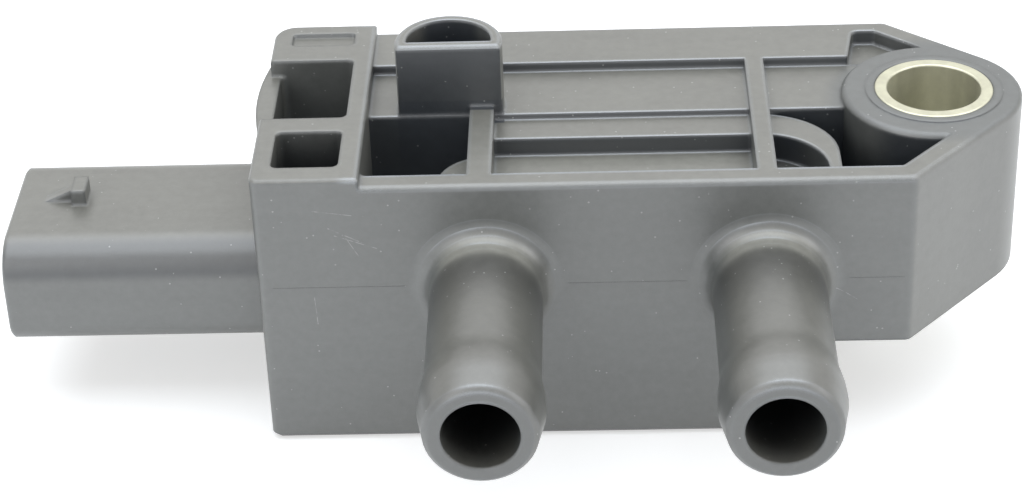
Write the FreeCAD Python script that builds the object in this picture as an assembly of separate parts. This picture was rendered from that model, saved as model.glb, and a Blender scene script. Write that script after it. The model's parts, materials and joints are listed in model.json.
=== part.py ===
"""Differential pressure sensor for a particulate filter: two hose nipples, a plug and a fixing eye.

Sizes are millimetres. The origin is on the axis of the fixing bore, in the sleeve's top face, which
seats on the bracket. +X runs from the plug towards the eye, +Y away from the nipples, +Z is up.
"""

import FreeCAD, Part
import math
import os

V = FreeCAD.Vector

# Fixing eye and its sleeve
bore_radius = 3.3
sleeve_wall = 0.9
eye_wall = 2.04
sleeve_proud = 0.15
collar_width = 0.65
collar_rise = 0.1
boss_radius = 6.55
boss_bevel = 0.3

# Body, measured from the bore's axis and down from the seating face
front_reach = 12.1
back_reach = 10.4
corner_reach = 2.5
deep_height = 21.2
shallow_height = 13.4
shallow_length = 8.5
corner_rounding = 0.7
block_corner_rounding = 1.6
rim_rounding = 0.35
underside_bevel = 0.5

# Raised block at the plug's end
block_length = 7.5
block_rise = 0.54
block_bevel = 0.15
small_pocket_width = 4.67
small_pocket_length = 4.9
small_pocket_inset = 1.8
big_pocket_front_inset = 8.6
big_pocket_back_inset = 5.4
big_pocket_right_inset = 6.15
block_wall = 1.35
bulge_rise = 0.75
bulge_front_inset = 7.8
bulge_back_inset = 3.0
bulge_drop = 0.6
bulge_height = 5.45
mark_recess_depth = 0.3
mark_recess_length = 1.8
mark_recess_inset = 1.3

# Rims, steps, ribs and deep pockets of the top
front_rim = 1.65
back_rim = 5.25
plateau_drop = 0.7
plateau_front = -1.15
band_drop = 1.1
band_front = -3.95
band_reach = 5.2
band_radius = 5.4
floor_drop = 2.45
floor_left_reach = 3.4
floor_left_radius = 3.6
floor_right_reach = 4.35
floor_right_radius = 4.6
end_floor_drop = 3.1
pocket_drop = 9.35
rib_width = 1.7
rib_offset = 1.15
bar_width = 1.35
bar_offset = 0.76
pocket_rounding = 0.5
slant_corner_rounding = 0.3
back_recess_drop = 1.1
back_recess_wall = 1.4
back_recess_reach = 2.5
back_recess_slant = 0.8

# Locating peg
peg_offset = 2.55
peg_y = 0.05
peg_radius = 3.82
peg_flat = -1.05
peg_rise = 4.66
peg_wall = 0.8
peg_hole_depth = 11.0
peg_bevel = 0.2

# Hose nipples
nipple_low_distance = 12.39
nipple_pitch = 19.46
nipple_end_distance = 15.95
nipple_droop = 0.085
nipple_reach = 17.6
nipple_radius = 3.92
nipple_bore = 2.6
nipple_root = 1.5
root_steps = 4
bead_radius = 4.22
bead_peak = 3.2
bead_length = 6.2
bead_land = 0.6
bead_steps = 4
tip_radius = 3.8
tip_rounding = 0.35

# Plug shell
plug_length = 18.9
plug_front = -8.0
plug_back = 6.25
plug_rise = 5.7
plug_height = 7.95
plug_wall = 1.3
plug_depth = 15.4
plug_upper_rounding = 3.0
plug_lower_rounding = 1.9
plug_mouth_bevel = 0.2
nose_height = 1.2
nose_land = 1.05
nose_width = 2.1
nose_offset = 0.47
nose_ramp = 2.1
nose_ramp_width = 0.95
nose_inset = 2.2

# Electronics space and its cover
cavity_wall = 2.3
cavity_end_wall = 2.8
cavity_right_wall = 2.0
cavity_rounding = 1.5
cover_seat = 1.0
cover_thickness = 1.6
cover_inset = 0.2
bead_width = 0.5
bead_depth = 1.1
cover_lip = 0.8
cover_lip_width = 0.9
cover_lip_clearance = 0.15

# Pressure chambers behind the nipples
chamber_front_wall = 2.9
chamber_length = 4.4
chamber_roof = 2.0
chamber_end_reach = 2.2
chamber_end_rounding = 2.1
chamber_rounding = 0.4
chamber_gap = 2.4
chamber_right_wall = 2.7
plate_thickness = 1.2
plate_land = 0.6
plate_front_clearance = 0.1
plate_rounding = 1.4
core_count = 3
core_rib = 1.4
core_left_gap = 0.8
core_right_gap = 0.4
core_front_wall = 2.2
core_back_wall = 2.8
core_roof = 2.0
core_rounding = 0.6

# Board and its pillars
board_thickness = 1.0
board_height = 4.0
board_rounding = 0.8
board_clearance = 0.4
board_front_gap = 0.8
pillar_radius = 1.5
stake_radius = 0.6
stake_clearance = 0.05
stake_head_radius = 1.1
stake_head_height = 0.6
pillar_left_gap = 2.4
pillar_right_inset = 2.5
pillar_front_inset = 1.8
pillar_back_inset = 2.3

# Pressure module
nozzle_pitch = 7.0
nozzle_inset = 2.6
nozzle_radius = 1.25
nozzle_bore = 0.6
nozzle_clearance = 0.1
nozzle_entry = 1.0
seal_section = 0.8
seal_ease = 0.23
lid_thickness = 1.0
module_wall = 1.0
module_floor = 0.8
module_height = 2.6
module_front_gap = 0.6
module_length = 7.8
module_overhang = 3.5
die_size = 2.2
die_thickness = 0.4
die_inset = 3.0
pedestal_height = 0.7
pedestal_bore = 0.3
gel_cover = 0.3
diaphragm = 0.06
duct_width = 0.8
duct_depth = 0.4
lead_count = 4
lead_pitch = 1.6
lead_width = 0.5
lead_thickness = 0.25
lead_reach = 1.1
lead_level = 1.3
lead_bite = 0.6

# Parts on the board
chip_length = 8.6
chip_width = 3.9
chip_height = 1.5
chip_gap = 2.45
chip_lift = 0.1
chip_lead_width = 0.4
chip_lead_thickness = 0.2
chip_lead_pitch = 1.27
chip_lead_reach = 1.0
chip_lead_rows = 7
small_part_length = 2.0
small_part_width = 1.25
small_part_cap = 0.4
small_part_swell = 0.05
small_part_pitch = 2.6
capacitor_height = 1.0
resistor_height = 0.55

# Terminals
terminal_pitch = 3.3
terminal_height = 3.15
terminal_width = 1.5
terminal_thickness = 0.63
terminal_tip_inset = 3.6
terminal_taper = 0.9
terminal_bend = 1.0
terminal_leg_width = 0.9
terminal_leg_gap = 1.5
terminal_leg_below = 0.7
terminal_leg_shoulder = 1.2
slot_clearance = 0.1

# Places worked out from the sizes above
sleeve_radius = bore_radius + sleeve_wall
eye_radius = sleeve_radius + eye_wall
top_z = -sleeve_proud
nipple_low_x = -nipple_low_distance
nipple_high_x = nipple_low_x - nipple_pitch
left_x = nipple_high_x - nipple_end_distance
peg_x = nipple_high_x - peg_offset
front_y = -front_reach
back_y = back_reach
corner_x = -corner_reach
step_x = -shallow_length
deep_z = -deep_height
shallow_z = -shallow_height
block_right = left_x + block_length
block_top = block_rise
rim_front_y = front_y + front_rim
big_pocket_front = front_y + big_pocket_front_inset
big_pocket_back = back_y - big_pocket_back_inset
big_pocket_right = left_x + big_pocket_right_inset
bulge_front = front_y + bulge_front_inset
bulge_back = back_y - bulge_back_inset
bulge_top = top_z - bulge_drop
bulge_bottom = bulge_top - bulge_height
mark_recess_back = back_y - mark_recess_inset
mark_recess_front = mark_recess_back - mark_recess_length
rim_back_y = back_y - back_rim
plateau_z = top_z - plateau_drop
band_z = top_z - band_drop
floor_z = top_z - floor_drop
end_floor_z = top_z - end_floor_drop
pocket_z = top_z - pocket_drop
rib_left = nipple_high_x - rib_offset
rib_right = rib_left + rib_width
bar_left = nipple_low_x - bar_offset
bar_right = bar_left + bar_width
nipple_tip_y = front_y - nipple_reach
plug_left = left_x - plug_length
plug_floor_x = plug_left + plug_depth
plug_bottom = deep_z + plug_rise
plug_top = plug_bottom + plug_height
plug_mid_y = (plug_front + plug_back) / 2
terminal_z = plug_bottom + terminal_height
cavity_left = left_x + cavity_end_wall
cavity_right = step_x - cavity_right_wall
cavity_front = front_y + cavity_wall
cavity_back = back_y - cavity_wall
cover_top = deep_z + cover_inset + cover_thickness
board_top = deep_z + board_height
board_bottom = board_top - board_thickness
board_left = cavity_left + board_clearance
board_right = cavity_right - board_clearance
board_front = cavity_front + board_front_gap
board_back = cavity_back - board_clearance
module_floor_z = board_top + module_floor
module_top = board_top + module_height
lid_top = module_top + lid_thickness
plate_bottom = lid_top + seal_section
cavity_top = plate_bottom + plate_thickness
chamber_top = floor_z - chamber_roof
chamber_front = front_y + chamber_front_wall
chamber_back = chamber_front + chamber_length
chamber_left = nipple_high_x - chamber_end_reach
chamber_right = step_x - chamber_right_wall
nipple_z = (cavity_top + chamber_top) / 2 - nipple_droop
core_top = plateau_z - core_roof
core_front = chamber_back + core_front_wall
core_back = back_y - core_back_wall
divider_x = (nipple_high_x + nipple_low_x) / 2
nozzle_high_x = divider_x - nozzle_pitch / 2
nozzle_low_x = divider_x + nozzle_pitch / 2
nozzle_y = chamber_front + nozzle_inset
nozzle_top = plate_bottom + nozzle_entry
module_left = nozzle_high_x - module_overhang
module_right = nozzle_low_x + module_overhang
module_front = board_front + module_front_gap
module_back = module_front + module_length
die_y = nozzle_y + die_inset
leg_left = cavity_left + terminal_leg_gap
leg_right = leg_left + terminal_thickness
chip_x = divider_x
chip_y = module_back + chip_gap + chip_width / 2
small_part_x = (leg_right + module_left - lead_reach) / 2
pillar_left_x = leg_right + pillar_left_gap
pillar_right_x = board_right - pillar_right_inset
pillar_front_y = board_front + pillar_front_inset
pillar_back_y = board_back - pillar_back_inset
core_left = peg_x + peg_radius + core_left_gap
core_right = pillar_right_x - pillar_radius - core_right_gap
core_width = (core_right - core_left - core_rib * (core_count - 1)) / core_count
pillar_places = ((pillar_left_x, pillar_front_y), (pillar_left_x, pillar_back_y),
                 (pillar_right_x, pillar_back_y))
margin = 1.0


def box(x0, x1, y0, y1, z0, z1):
    return Part.makeBox(x1 - x0, y1 - y0, z1 - z0, V(x0, y0, z0))


def upright(x, y, radius, z0, z1):
    return Part.makeCylinder(radius, z1 - z0, V(x, y, z0))


def rounded_wire(corners):
    """A closed wire through corners (point, radius): each corner with a radius becomes an arc."""
    edges = []
    ends = []
    count = len(corners)
    for index, (point, radius) in enumerate(corners):
        before = (corners[index - 1][0] - point).normalize()
        after = (corners[(index + 1) % count][0] - point).normalize()
        if radius <= 0:
            ends.append((point, point))
            continue
        half = before.getAngle(after) / 2
        cut = radius / math.tan(half)
        inward = (before + after).normalize()
        middle = point + inward * (radius / math.sin(half) - radius)
        start = point + before * cut
        end = point + after * cut
        edges.append(Part.Arc(start, middle, end).toShape())
        ends.append((start, end))
    for index in range(count):
        start = ends[index - 1][1]
        end = ends[index][0]
        if start.distanceToPoint(end) > 1e-6:
            edges.append(Part.LineSegment(start, end).toShape())
    return Part.Wire(Part.__sortEdges__(edges))


def prism(corners, z0, z1):
    """An upright solid over a plan outline of (x, y, corner radius)."""
    wire = rounded_wire([(V(x, y, z0), radius) for x, y, radius in corners])
    return Part.Face(wire).extrude(V(0, 0, z1 - z0))


def rectangle(x0, x1, y0, y1, radius):
    return [(x0, y0, radius), (x1, y0, radius), (x1, y1, radius), (x0, y1, radius)]


def rounded_box(x0, x1, y0, y1, z0, z1, radius):
    return prism(rectangle(x0, x1, y0, y1, radius), z0, z1)


def join(shapes):
    result = shapes[0].fuse(list(shapes[1:]))
    return result.removeSplitter()


def write(name, shape):
    if len(shape.Solids) == 1:
        shape = shape.Solids[0]
    shape.exportStep(os.path.join("parts", name + ".step"))


def eye_tangent(side_y):
    """Where the wall from the body's corner at (corner_x, side_y) meets the eye's circle."""
    distance = math.hypot(corner_x, side_y)
    heading = math.atan2(side_y, corner_x)
    turn = math.acos(eye_radius / distance)
    angle = heading - math.copysign(turn, side_y)
    return V(math.cos(angle), math.sin(angle), 0)


def shallow_plan(z):
    """The body's outline from the plug's end to the eye, with its corners rounded."""
    low = eye_tangent(front_y)
    high = eye_tangent(back_y)
    corners = [
        (V(left_x, back_y, z), block_corner_rounding),
        (V(left_x, front_y, z), corner_rounding),
        (V(corner_x, front_y, z), corner_rounding),
        (V(low.x * eye_radius, low.y * eye_radius, z), 0),
        (V(high.x * eye_radius, high.y * eye_radius, z), 0),
        (V(corner_x, back_y, z), corner_rounding),
    ]
    straight = rounded_wire(corners)
    disc = Part.Face(Part.Wire(Part.Circle(V(0, 0, z), V(0, 0, 1), eye_radius).toShape()))
    return Part.Face(straight).fuse(disc).removeSplitter()


def round_edges(solid, radius, wanted):
    return solid.makeFillet(radius, [edge for edge in solid.Edges if wanted(edge)])


def bevel_edges(solid, width, wanted):
    return solid.makeChamfer(width, [edge for edge in solid.Edges if wanted(edge)])


def lies_at(edge, axis, value):
    box_of_edge = edge.BoundBox
    low = (box_of_edge.XMin, box_of_edge.YMin, box_of_edge.ZMin)[axis]
    high = (box_of_edge.XMax, box_of_edge.YMax, box_of_edge.ZMax)[axis]
    return abs(low - value) < 1e-3 and abs(high - value) < 1e-3


def body_block():
    """The outer form: shallow part with the eye, deep part, and the raised block at the plug's end."""
    shallow = shallow_plan(shallow_z).extrude(V(0, 0, top_z - shallow_z))
    shallow = Part.Solid(shallow.Solids[0])
    shallow = round_edges(shallow, rim_rounding,
                          lambda edge: lies_at(edge, 2, top_z) and lies_at(edge, 1, front_y))
    deep = prism([(left_x, back_y, block_corner_rounding), (left_x, front_y, corner_rounding),
                  (step_x, front_y, corner_rounding), (step_x, back_y, corner_rounding)],
                 deep_z, shallow_z + margin)
    deep = bevel_edges(deep, underside_bevel, lambda edge: lies_at(edge, 2, deep_z))
    block = prism([(left_x, back_y, block_corner_rounding), (left_x, front_y, corner_rounding),
                   (block_right, front_y, 0), (block_right, back_y, 0)],
                  shallow_z, block_top)
    block = bevel_edges(block, block_bevel, lambda edge: lies_at(edge, 2, block_top))
    return join([shallow, deep, block])


def inner_corner():
    """The bay's corner points along the inside of the sloping front wall."""
    outward = eye_tangent(front_y)
    along = V(-outward.y, outward.x, 0)
    foot = outward * (eye_radius - front_rim)
    reach = (foot.y - rim_front_y) / along.y
    corner = foot - along * reach
    return corner, foot


def boss():
    solid = upright(0, 0, boss_radius, shallow_z, top_z)
    return bevel_edges(solid, boss_bevel, lambda edge: lies_at(edge, 2, top_z))


def bay():
    """All that is open in the top between the rims, the block and the eye, down to the deep pockets."""
    corner, foot = inner_corner()
    plan = [
        (block_right, rim_back_y, 0), (block_right, rim_front_y, pocket_rounding),
        (corner.x, corner.y, slant_corner_rounding), (foot.x, foot.y, 0), (0, 0, 0),
        (-boss_radius / 2, rim_back_y, 0),
    ]
    return prism(plan, pocket_z, block_top)


def plateau():
    return box(block_right - margin, 0, plateau_front, rim_back_y + margin, shallow_z, plateau_z)


def band():
    """The stepped roof over the pressure chambers: the upper step, rounded at the eye's end."""
    right = nipple_low_x + band_reach
    plan = [(rib_left, plateau_front, 0), (rib_left, rim_front_y - margin, 0),
            (right, rim_front_y - margin, 0), (right, plateau_front, band_radius)]
    return prism(plan, shallow_z, band_z)


def roof_plan():
    left = nipple_high_x - floor_left_reach
    right = nipple_low_x + floor_right_reach
    return [(left, band_front, floor_left_radius), (left, rim_front_y - margin, 0),
            (right, rim_front_y - margin, 0), (right, band_front, floor_right_radius)]


def back_recess():
    """The shallow recess between the back rim, the sloping back wall and the boss."""
    outward = eye_tangent(back_y)
    along = V(outward.y, -outward.x, 0)
    wall = outward * (eye_radius - front_rim)
    reach = (back_y - back_recess_wall - wall.y) / along.y
    top = wall + along * reach
    left = corner_x - back_recess_reach
    plan = [(left, top.y, pocket_rounding), (top.x, top.y, slant_corner_rounding),
            (wall.x, wall.y, 0), (0, 0, 0),
            (left - back_recess_slant, rim_back_y - back_recess_slant, 0)]
    return prism(plan, top_z - back_recess_drop, block_top)


def peg():
    outer = upright(peg_x, peg_y, peg_radius, shallow_z, peg_rise)
    outer = outer.cut(box(peg_x - peg_radius - margin, peg_x + peg_radius + margin,
                          peg_y - peg_radius - margin, peg_flat, shallow_z - margin, peg_rise + margin))
    return bevel_edges(outer, peg_bevel, lambda edge: lies_at(edge, 2, peg_rise))


def peg_hole():
    inner = peg_radius - peg_wall
    hole = upright(peg_x, peg_y, inner, peg_rise - peg_hole_depth, peg_rise + margin)
    return hole.cut(box(peg_x - peg_radius, peg_x + peg_radius, peg_y - peg_radius, peg_flat + peg_wall,
                        peg_rise - peg_hole_depth - margin, peg_rise + 2 * margin))


def block_pockets():
    pocket_left = left_x + block_wall
    small_front = front_y + small_pocket_inset
    small = rounded_box(pocket_left, pocket_left + small_pocket_width, small_front,
                        small_front + small_pocket_length, pocket_z, block_top + margin,
                        pocket_rounding)
    big = rounded_box(left_x + block_wall / 2, big_pocket_right, big_pocket_front, big_pocket_back,
                      pocket_z, block_top + margin, pocket_rounding)
    gap = box(left_x - margin, left_x + block_wall, big_pocket_front, big_pocket_back,
              bulge_top, block_top + margin)
    mark = rounded_box(pocket_left, pocket_left + small_pocket_width, mark_recess_front,
                       mark_recess_back, block_top - mark_recess_depth, block_top + margin,
                       slant_corner_rounding)
    return [small, big, gap, mark]


def bulge():
    """The curved outer wall beside the big pocket, standing a little proud of the body's end."""
    start = V(left_x, bulge_front, bulge_bottom)
    end = V(left_x, bulge_back, bulge_bottom)
    middle = V(left_x - bulge_rise, (bulge_front + bulge_back) / 2, bulge_bottom)
    inside_start = start + V(block_wall / 2, 0, 0)
    inside_end = end + V(block_wall / 2, 0, 0)
    edges = [Part.Arc(start, middle, end).toShape(), Part.LineSegment(end, inside_end).toShape(),
             Part.LineSegment(inside_end, inside_start).toShape(),
             Part.LineSegment(inside_start, start).toShape()]
    return Part.Face(Part.Wire(edges)).extrude(V(0, 0, bulge_top - bulge_bottom))


def nipple(x):
    """A turned form on a level axis: flared root, plain tube, swelling bead and eased tip."""
    tip_y = nipple_tip_y
    peak_y = tip_y + bead_peak
    profile = [(0, front_y + margin), (nipple_radius + nipple_root, front_y + margin)]
    for step in range(root_steps + 1):
        turn = math.pi / 2 * step / root_steps
        profile.append((nipple_radius + nipple_root * (1 - math.sin(turn)),
                        front_y - nipple_root * (1 - math.cos(turn))))
    rise = bead_radius - nipple_radius
    for step in range(bead_steps):
        share = step / bead_steps
        swell = (1 - math.cos(math.pi * share)) / 2
        profile.append((nipple_radius + rise * swell,
                        tip_y + bead_length + (peak_y - tip_y - bead_length) * share))
    profile += [(bead_radius, peak_y), (bead_radius, peak_y - bead_land),
                (tip_radius, tip_y + tip_rounding), (tip_radius - tip_rounding, tip_y),
                (0, tip_y), (0, front_y + margin)]
    solid = Part.Face(Part.makePolygon([V(r, y, 0) for r, y in profile]))
    solid = solid.revolve(V(0, 0, 0), V(0, 1, 0), 360)
    solid.translate(V(x, 0, nipple_z))
    return solid


def nipple_duct(x):
    """The hose bore, straight through the front wall into the chamber."""
    return Part.makeCylinder(nipple_bore, chamber_back - nipple_tip_y, V(x, nipple_tip_y, nipple_z),
                             V(0, 1, 0))


def plug_plan(inset):
    """The plug shell's outline, in Y and Z, drawn in by inset."""
    upper = plug_upper_rounding - inset
    lower = plug_lower_rounding - inset
    return [(plug_front + inset, plug_top - inset, upper), (plug_back - inset, plug_top - inset, upper),
            (plug_back - inset, plug_bottom + inset, lower),
            (plug_front + inset, plug_bottom + inset, lower)]


def plug_solid(inset, x0, x1):
    wire = rounded_wire([(V(x0, y, z), radius) for y, z, radius in plug_plan(inset)])
    return Part.Face(wire).extrude(V(x1 - x0, 0, 0))


def plug_shell():
    solid = plug_solid(0, plug_left, left_x + margin)
    return bevel_edges(solid, plug_mouth_bevel, lambda edge: lies_at(edge, 0, plug_left))


def latch_nose():
    """The plug's latch catch: a narrow ramp that rises to a wider land with a square back."""
    tip_x = plug_left + nose_inset
    land_x = tip_x + nose_ramp
    foot = plug_top - margin / 2
    ramp = Part.Face(Part.makePolygon([V(tip_x, 0, foot), V(tip_x, 0, plug_top),
                                       V(land_x + nose_land / 2, 0, plug_top + nose_height),
                                       V(land_x + nose_land / 2, 0, foot), V(tip_x, 0, foot)]))
    ramp = ramp.extrude(V(0, nose_ramp_width, 0))
    ramp.translate(V(0, plug_mid_y + nose_offset - nose_ramp_width / 2, 0))
    land = box(land_x, land_x + nose_land, plug_mid_y + nose_offset - nose_width / 2,
               plug_mid_y + nose_offset + nose_width / 2, foot, plug_top + nose_height)
    return ramp.fuse(land)


def cavity():
    space = rounded_box(cavity_left, cavity_right, cavity_front, cavity_back,
                        deep_z - margin, cavity_top, cavity_rounding)
    seat = rounded_box(cavity_left - cover_seat, cavity_right + cover_seat, cavity_front - cover_seat,
                       cavity_back + cover_seat, deep_z - margin, cover_top,
                       cavity_rounding + cover_seat)
    return space.fuse(seat)


def chamber(x0, x1, left_radius, right_radius):
    return prism([(x0, chamber_back, left_radius), (x0, chamber_front, left_radius),
                  (x1, chamber_front, right_radius), (x1, chamber_back, right_radius)],
                 cavity_top - margin, chamber_top)


def chambers():
    split_left = divider_x - chamber_gap / 2
    split_right = divider_x + chamber_gap / 2
    return [chamber(chamber_left, split_left, chamber_end_rounding, chamber_rounding),
            chamber(split_right, chamber_right, chamber_rounding, chamber_end_rounding)]


def core_pockets():
    """The pockets that keep the back of the body to an even wall, open to the electronics space."""
    pockets = []
    for index in range(core_count):
        x0 = core_left + index * (core_width + core_rib)
        pockets.append(rounded_box(x0, x0 + core_width, core_front, core_back,
                                   cavity_top - margin, core_top, core_rounding))
    return pockets


def pillar(x, y):
    """A board support with the stake that holds the board, and the stake's melted head."""
    column = upright(x, y, pillar_radius, board_top, cavity_top + margin / 2)
    stake = upright(x, y, stake_radius, board_bottom - stake_head_height / 2, board_top + margin)
    head = Part.makeCone(stake_radius, stake_head_radius, stake_head_height,
                         V(x, y, board_bottom - stake_head_height))
    return column.fuse([stake, head])


def terminal_blade(y):
    """A blade cut from strip: tapered tip in the plug, a bend, and a narrow leg through the board."""
    half = terminal_thickness / 2
    z0 = terminal_z - half
    z1 = terminal_z + half
    tip = plug_left + terminal_tip_inset
    low = board_bottom - terminal_leg_below
    taper = half / 2
    outline = [(V(tip, 0, z0 + taper), 0), (V(tip + terminal_taper, 0, z0), 0),
               (V(leg_left, 0, z0), terminal_bend - terminal_thickness), (V(leg_left, 0, low), 0),
               (V(leg_right, 0, low), 0), (V(leg_right, 0, z1), terminal_bend),
               (V(tip + terminal_taper, 0, z1), 0), (V(tip, 0, z1 - taper), 0)]
    blade = Part.Face(rounded_wire(outline)).extrude(V(0, terminal_width, 0))
    blade.translate(V(0, y - terminal_width / 2, 0))
    spare = (terminal_width - terminal_leg_width) / 2
    for side in (-1, 1):
        edge_y = y + side * (terminal_leg_width / 2 + spare / 2)
        notch = box(leg_left - margin, leg_right + margin, edge_y - spare / 2, edge_y + spare / 2,
                    low - margin, board_top + terminal_leg_shoulder)
        blade = blade.cut(notch)
    return blade


def terminal_places():
    return [plug_mid_y + offset * terminal_pitch for offset in (1, 0, -1)]


def housing():
    solid = body_block()
    corner_pocket = bay().cut(boss())
    solid = solid.cut(corner_pocket)
    solid = solid.cut(back_recess().cut(boss()))
    roof = prism(roof_plan(), shallow_z, floor_z)
    step = band()
    above_floor = prism(roof_plan(), floor_z, block_top)
    above_end = prism(roof_plan(), end_floor_z, block_top)
    above_end = above_end.common(box(bar_left, 0, front_y, band_front, end_floor_z, block_top))
    fill = plateau().fuse([step, roof]).cut([above_floor, above_end]).common(bay())
    rib = box(rib_left, rib_right, rim_front_y - margin / 2, peg_flat + margin / 2, pocket_z, top_z)
    bar = box(bar_left, bar_right, rim_front_y - margin / 2, rim_back_y + margin / 2, pocket_z, top_z)
    solid = join([solid, fill, rib, bar, peg()])
    solid = solid.cut(block_pockets())
    solid = join([solid, bulge(), nipple(nipple_high_x), nipple(nipple_low_x), plug_shell(),
                  latch_nose()])
    collar = upright(0, 0, sleeve_radius + collar_width, top_z - margin / 2, top_z + collar_rise)
    solid = solid.fuse(collar)
    cuts = [peg_hole(), cavity(), upright(0, 0, sleeve_radius, shallow_z - margin, margin),
            plug_solid(plug_wall, plug_left - margin, plug_floor_x),
            nipple_duct(nipple_high_x), nipple_duct(nipple_low_x)]
    cuts += chambers() + core_pockets()
    solid = solid.cut(cuts)
    solid = join([solid] + [pillar(x, y) for x, y in pillar_places])
    return solid.cut([terminal_blade(y) for y in terminal_places()])


def fixing_sleeve():
    """The pressed sleeve: it stands a little proud at both ends and is chamfered inside."""
    outer = upright(0, 0, sleeve_radius, shallow_z - sleeve_proud, 0)
    bore = upright(0, 0, bore_radius, shallow_z - sleeve_proud - margin, margin)
    return outer.cut(bore)


def base_cover():
    gap = cover_seat - bead_width
    low = deep_z + cover_inset
    plate = rounded_box(cavity_left - gap, cavity_right + gap, cavity_front - gap, cavity_back + gap,
                        low, cover_top, cavity_rounding + gap)
    clear = cover_lip_clearance
    lip = rounded_box(cavity_left + clear, cavity_right - clear, cavity_front + clear,
                      cavity_back - clear, cover_top - margin / 2, cover_top + cover_lip,
                      cavity_rounding - clear)
    inner = clear + cover_lip_width
    hollow = rounded_box(cavity_left + inner, cavity_right - inner, cavity_front + inner,
                         cavity_back - inner, cover_top, cover_top + cover_lip + margin,
                         cavity_rounding - clear)
    return join([plate, lip.cut(hollow)])


def cover_seal():
    gap = cover_seat - bead_width
    outer = rounded_box(cavity_left - cover_seat, cavity_right + cover_seat, cavity_front - cover_seat,
                        cavity_back + cover_seat, cover_top - bead_depth, cover_top,
                        cavity_rounding + cover_seat)
    inner = rounded_box(cavity_left - gap, cavity_right + gap, cavity_front - gap, cavity_back + gap,
                        cover_top - bead_depth - margin, cover_top + margin, cavity_rounding + gap)
    return outer.cut(inner)


def chamber_plate():
    plate = rounded_box(chamber_left - plate_land, chamber_right + plate_land,
                        cavity_front + plate_front_clearance, chamber_back + plate_land,
                        plate_bottom, cavity_top, plate_rounding)
    holes = [upright(x, nozzle_y, nozzle_radius + nozzle_clearance, plate_bottom - margin,
                     cavity_top + margin) for x in (nozzle_high_x, nozzle_low_x)]
    return plate.cut(holes)


def port_seal(x):
    """A ring seal with its corners eased, turned about the nozzle."""
    inner = nozzle_radius
    outer = nozzle_radius + seal_section
    ease = min(seal_ease, seal_section / 3)
    section = [(inner + ease, lid_top), (outer - ease, lid_top), (outer, lid_top + ease),
               (outer, plate_bottom - ease), (outer - ease, plate_bottom), (inner + ease, plate_bottom),
               (inner, plate_bottom - ease), (inner, lid_top + ease), (inner + ease, lid_top)]
    ring = Part.Face(Part.makePolygon([V(r, 0, z) for r, z in section]))
    ring = ring.revolve(V(0, 0, 0), V(0, 0, 1), 360)
    ring.translate(V(x, nozzle_y, 0))
    return ring


def circuit_board():
    board = rounded_box(board_left, board_right, board_front, board_back, board_bottom, board_top,
                        board_rounding)
    holes = [upright(x, y, stake_radius + stake_clearance, board_bottom - margin, board_top + margin)
             for x, y in pillar_places]
    for y in terminal_places():
        holes.append(box(leg_left - slot_clearance, leg_right + slot_clearance,
                         y - terminal_leg_width / 2 - slot_clearance,
                         y + terminal_leg_width / 2 + slot_clearance,
                         board_bottom - margin, board_top + margin))
    return board.cut(holes)


def module_body():
    """The package's lower half: two compartments, and a duct below the floor that joins them."""
    solid = rounded_box(module_left, module_right, module_front, module_back,
                        board_top, module_top, 0)
    half = module_wall / 2
    for x0, x1 in ((module_left + module_wall, divider_x - half),
                   (divider_x + half, module_right - module_wall)):
        solid = solid.cut(rounded_box(x0, x1, module_front + module_wall, module_back - module_wall,
                                      module_floor_z, module_top + margin, 0))
    duct = box(nozzle_high_x - duct_width / 2, nozzle_low_x + duct_width / 2, die_y - duct_width / 2,
               die_y + duct_width / 2, board_top - margin, board_top + duct_depth)
    risers = [upright(x, die_y, duct_width / 2, board_top, module_floor_z + margin / 2)
              for x in (nozzle_high_x, nozzle_low_x)]
    leads = module_leads()
    return solid.cut([duct] + risers + leads)


def module_lid():
    lid = rounded_box(module_left, module_right, module_front, module_back, module_top, lid_top, 0)
    for x in (nozzle_high_x, nozzle_low_x):
        lid = lid.fuse(upright(x, nozzle_y, nozzle_radius, module_top, nozzle_top))
        lid = lid.cut(upright(x, nozzle_y, nozzle_bore, module_top - margin, nozzle_top + margin))
    return lid.removeSplitter()


def module_leads():
    """Bent leads in a row at each end, from inside the package's end walls down to the board."""
    leads = []
    level = board_top + lead_level
    middle_y = (module_front + module_back) / 2
    for side, wall_x in ((-1, module_left), (1, module_right)):
        inside = wall_x - side * lead_bite
        knee = wall_x + side * lead_reach
        outline = [(V(inside, 0, level), 0), (V(inside, 0, level + lead_thickness), 0),
                   (V(knee, 0, level + lead_thickness), 0), (V(knee, 0, board_top), 0),
                   (V(knee - side * lead_thickness, 0, board_top), 0),
                   (V(knee - side * lead_thickness, 0, level), 0)]
        for index in range(lead_count):
            y = middle_y + (index - (lead_count - 1) / 2) * lead_pitch
            lead = Part.Face(rounded_wire(outline)).extrude(V(0, lead_width, 0))
            lead.translate(V(0, y - lead_width / 2, 0))
            leads.append(lead)
    return leads


def glass_pedestal():
    half = die_size / 2
    block = box(nozzle_high_x - half, nozzle_high_x + half, die_y - half, die_y + half,
                module_floor_z, module_floor_z + pedestal_height)
    return block.cut(upright(nozzle_high_x, die_y, pedestal_bore, module_floor_z - margin,
                             module_floor_z + pedestal_height + margin))


def pressure_die():
    """The silicon element, with the square hollow that leaves its middle as a thin diaphragm."""
    half = die_size / 2
    z0 = module_floor_z + pedestal_height
    block = box(nozzle_high_x - half, nozzle_high_x + half, die_y - half, die_y + half,
                z0, z0 + die_thickness)
    hollow = box(nozzle_high_x - half / 2, nozzle_high_x + half / 2, die_y - half / 2, die_y + half / 2,
                 z0 - margin, z0 + die_thickness - diaphragm)
    return block.cut(hollow)


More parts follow.
